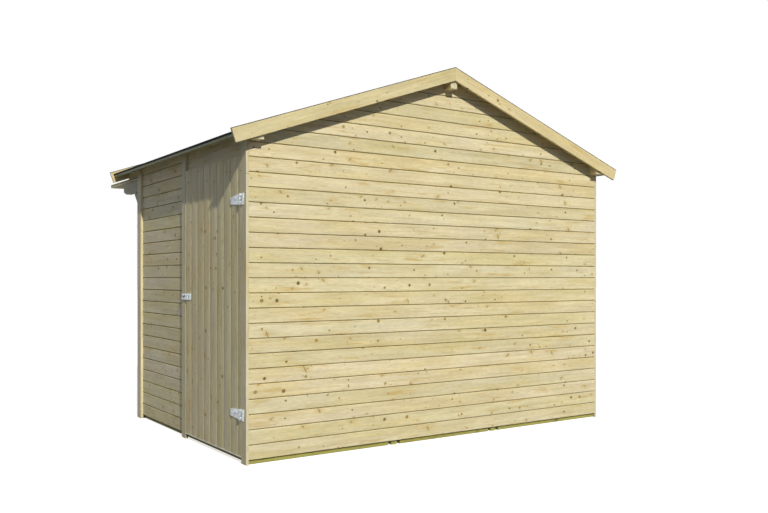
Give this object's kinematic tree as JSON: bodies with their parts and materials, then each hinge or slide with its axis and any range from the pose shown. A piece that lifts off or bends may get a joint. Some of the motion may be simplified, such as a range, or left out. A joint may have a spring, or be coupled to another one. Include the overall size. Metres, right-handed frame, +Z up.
{
  "type": "wooden kiosk",
  "caption": "Boarded timber kiosk with a gabled felt roof, a hinged side door with a hasp and a raised serving flap over a hatch in its front gable.",
  "frame": {"origin": "middle of the whole object's footprint, at ground level", "axes": "+X along the gables away from the door's wall, +Y from the plain back gable to the front gable with the serving hatch, +Z up"},
  "size_m": [3.2362, 2.838, 2.5055],
  "materials": {
    "cladding_wood": "planed, unpainted spruce with knots",
    "trim_wood": "planed, unpainted spruce",
    "door_wood": "planed, unpainted spruce with knots",
    "frame_wood": "sawn and planed spruce",
    "treated_wood": "green pressure-treated pine",
    "roofing_felt": "black mineral roofing felt",
    "zinc_steel": "galvanised"
  },
  "bodies": {
    "kiosk": {"floor_joists": "treated_wood", "edge_beams": "treated_wood", "floor_boards": "frame_wood", "gable_sole_plates": "frame_wood", "side_sole_plates": "frame_wood", "back_studs": "frame_wood", "front_studs": "frame_wood", "door_side_studs": "frame_wood", "plain_side_studs": "frame_wood", "gable_rails": "frame_wood", "hatch_rails": "frame_wood", "hatch_sill": "trim_wood", "back_cladding": "cladding_wood", "front_lower_cladding": "cladding_wood", "front_upper_cladding": "cladding_wood", "front_corner_boards": "cladding_wood", "door_side_cladding": "cladding_wood", "door_head_board": "cladding_wood", "plain_side_cladding": "cladding_wood", "door_side_trims": "trim_wood", "plain_side_trims": "trim_wood", "front_trims": "trim_wood", "door_stops": "frame_wood", "wall_plates": "frame_wood", "ridge_purlin": "frame_wood", "roof_deck": "frame_wood", "roof_felt": "roofing_felt", "back_bargeboards": "trim_wood", "front_bargeboards": "trim_wood", "bargeboard_caps": "roofing_felt", "flap_boards": "cladding_wood", "flap_ledges": "frame_wood", "flap_hinges": "zinc_steel", "bracket_arms": "trim_wood", "bracket_struts": "trim_wood", "hinge_leaves": "zinc_steel", "hasp_staple": "zinc_steel"},
    "door": {"door_boards": "door_wood", "door_ledges": "door_wood", "door_braces": "door_wood", "hinge_straps": "zinc_steel", "hasp_plate": "zinc_steel"},
    "hasp": {"hasp_strap": "zinc_steel"}
  },
  "joints": [
    {"name": "door_hinge", "type": "hinge", "parent": "kiosk", "child": "door", "pos_m": [-1.4948, -1.25975, 0.918], "axis": [0, 0, 1], "range_deg": [0, 170]},
    {"name": "hasp_hinge", "type": "hinge", "parent": "door", "child": "hasp", "pos_m": [-1.4933, -0.4115, 0.962], "axis": [0, 0, 1], "range_deg": [0, 170]}
  ]
}
